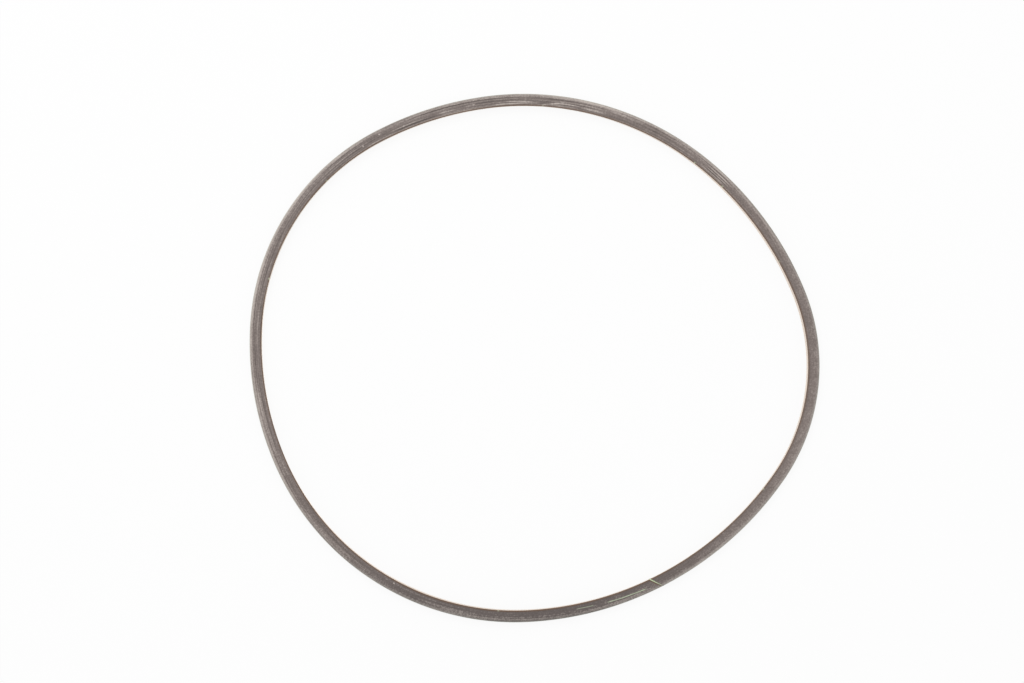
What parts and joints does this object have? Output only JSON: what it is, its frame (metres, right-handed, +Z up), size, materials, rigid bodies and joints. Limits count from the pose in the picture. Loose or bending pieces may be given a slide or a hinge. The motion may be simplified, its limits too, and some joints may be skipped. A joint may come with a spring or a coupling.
{
  "type": "d-ring seal",
  "caption": "Rubber sealing ring of D-shaped section, flat inside and round outside, bonded end to end, lying as a relaxed loop.",
  "frame": {"origin": "middle of the loop's outline, on the surface that the ring lies on", "axes": "+Z up, square to the loop; +X along the loop's greater width, towards its narrower rounded end; +Y across it"},
  "size_m": [0.1654, 0.1532, 0.0036],
  "materials": {
    "rubber": "matt extruded rubber, warm dark grey, with fine lengthwise lines"
  },
  "bodies": {
    "root": {"seal_ring": "rubber"}
  },
  "joints": []
}
